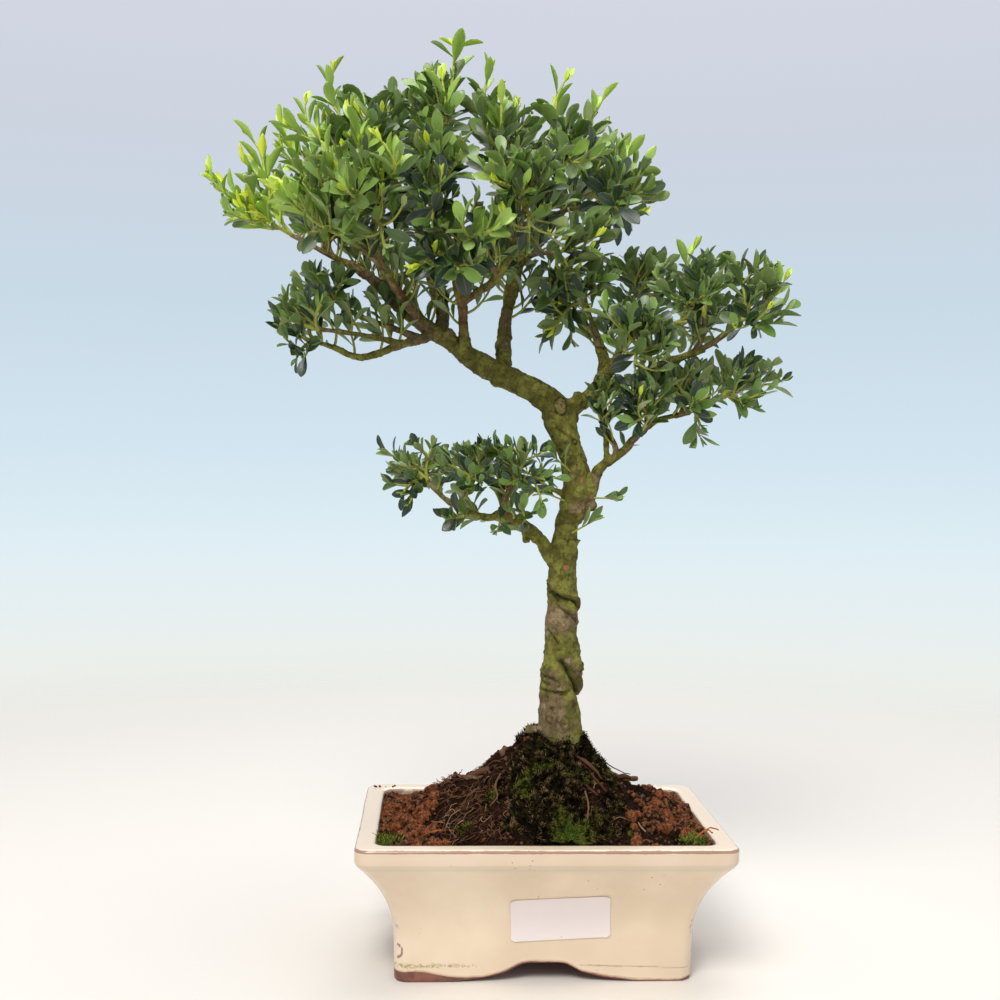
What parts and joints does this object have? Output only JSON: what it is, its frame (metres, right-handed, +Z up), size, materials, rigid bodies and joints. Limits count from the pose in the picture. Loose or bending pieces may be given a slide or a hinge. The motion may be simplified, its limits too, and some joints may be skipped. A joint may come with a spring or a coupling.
{
  "type": "japanese holly bonsai",
  "caption": "Footed glazed bowl with a mound of soil and moss, from which a tapering trunk rises to spreading limbs and layered pads of small oval leaves.",
  "frame": {"origin": "middle of the whole plant's footprint, on the surface that the bowl's feet stand on", "axes": "+Z up along the trunk, +X to the right and +Y to the back as seen from the front with the label, the bowl's long side along X"},
  "size_m": [0.3138, 0.1776, 0.49],
  "materials": {
    "glaze": "gloss",
    "label_paper": "matte",
    "soil": "matte",
    "moss": "matte",
    "bark": "matte",
    "leaf": "satin",
    "new_leaf": "satin"
  },
  "bodies": {
    "root": {"pot": "glaze", "label": "label_paper", "soil": "soil", "moss_cushion": "moss", "trunk": "bark", "crown_far_left": "leaf", "crown_left_back": "leaf", "crown_left_front": "leaf", "crown_left_top": "leaf", "crown_rear_left": "leaf", "crown_mid_left": "leaf", "crown_front_left": "leaf", "crown_peak": "leaf", "crown_rear_mid": "leaf", "crown_front_mid": "leaf", "crown_front_low": "leaf", "crown_mid_right": "leaf", "crown_front_right": "leaf", "crown_rear_right": "leaf", "crown_right_top": "leaf", "crown_right": "leaf", "crown_right_low": "leaf", "crown_rear_far_right": "leaf", "right_upper_near": "leaf", "right_upper_mid": "leaf", "right_upper_front": "leaf", "right_upper_far": "leaf", "right_upper_end": "leaf", "right_upper_back": "leaf", "right_lower_stem": "leaf", "right_lower_near": "leaf", "right_lower_mid": "leaf", "right_lower_end": "leaf", "left_lower_near": "leaf", "left_lower_mid": "leaf", "left_lower_end": "leaf", "left_low_end": "leaf", "left_low_inner": "leaf", "left_low_thin": "leaf", "trunk_shoot": "leaf", "new_shoot_far_left": "new_leaf", "new_shoot_left": "new_leaf", "new_shoot_left_back": "new_leaf", "new_shoot_left_front": "new_leaf", "new_shoot_left_top": "new_leaf", "new_shoot_tall": "new_leaf", "new_shoot_mid_left": "new_leaf", "new_shoot_front": "new_leaf", "new_shoot_peak": "new_leaf", "new_shoot_peak_front": "new_leaf", "new_shoot_mid_right": "new_leaf", "new_shoot_right_front": "new_leaf", "new_shoot_right_top": "new_leaf", "new_shoot_right": "new_leaf", "new_shoot_pad_top": "new_leaf", "new_shoot_pad_end": "new_leaf", "new_shoot_rear": "new_leaf"}
  },
  "joints": []
}
